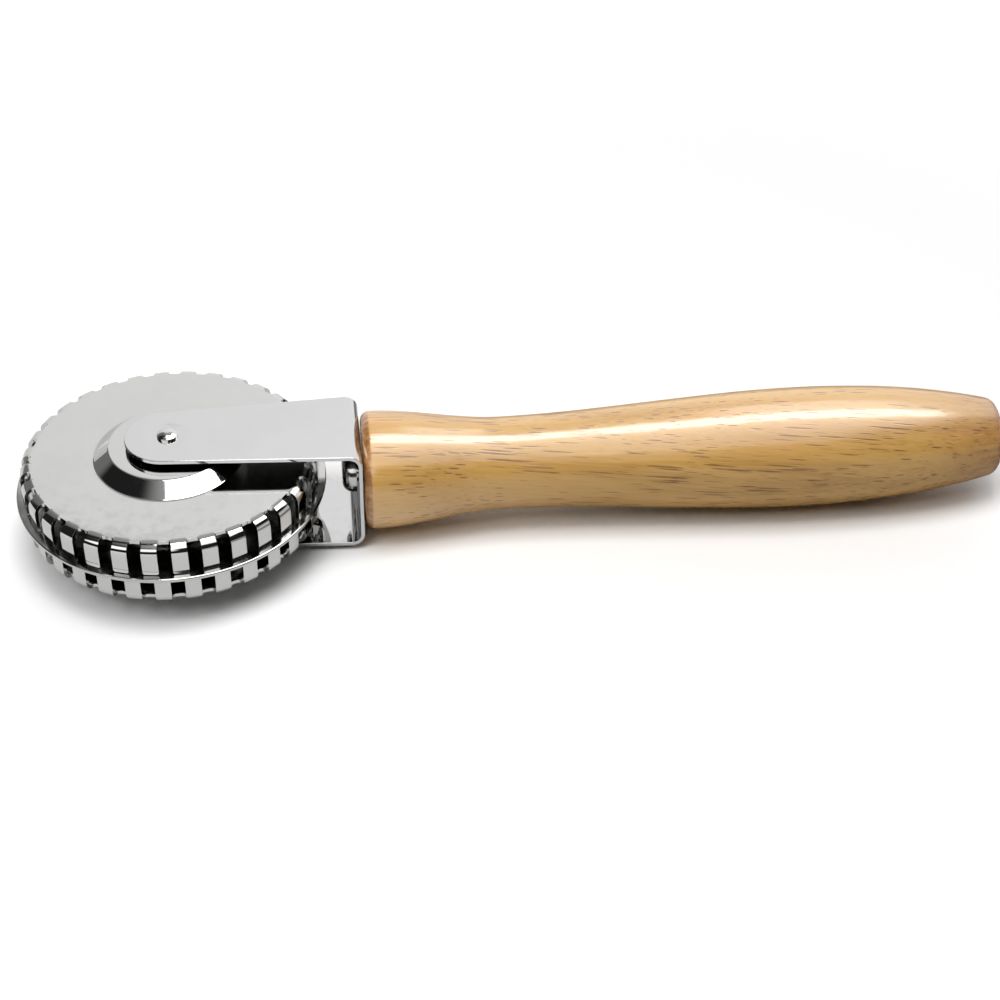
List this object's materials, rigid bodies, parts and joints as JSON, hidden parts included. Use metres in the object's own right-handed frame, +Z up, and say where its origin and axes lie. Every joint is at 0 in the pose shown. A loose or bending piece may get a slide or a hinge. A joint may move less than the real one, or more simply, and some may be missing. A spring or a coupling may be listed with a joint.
{
  "type": "pastry crimper",
  "caption": "Pastry crimper: a toothed crimping wheel with a plain cutting disc, turning freely in a bent steel fork on a turned wooden handle.",
  "frame": {"origin": "under the middle of the tool's box, on the surface that the tool lies on", "axes": "+X from the wheel to the butt of the handle, +Z up along the wheel's axle, +Y across the tool"},
  "size_m": [0.1898, 0.058, 0.0232],
  "materials": {
    "chromed_steel": "polished",
    "lacquered_wood": "gloss clear lacquer over pale wood"
  },
  "bodies": {
    "frame": {"handle": "lacquered_wood", "fork": "chromed_steel", "handle_screw": "chromed_steel", "axle_rivet": "chromed_steel"},
    "wheel": {"cutting_disc": "chromed_steel", "upper_crimp_wheel": "chromed_steel", "lower_crimp_wheel": "chromed_steel", "hub_bush": "chromed_steel"}
  },
  "joints": [
    {"name": "wheel_spin", "type": "hinge", "parent": "frame", "child": "wheel", "pos_m": [-0.06595, 0, 0.0116], "axis": [0, 0, 1], "continuous": true}
  ]
}
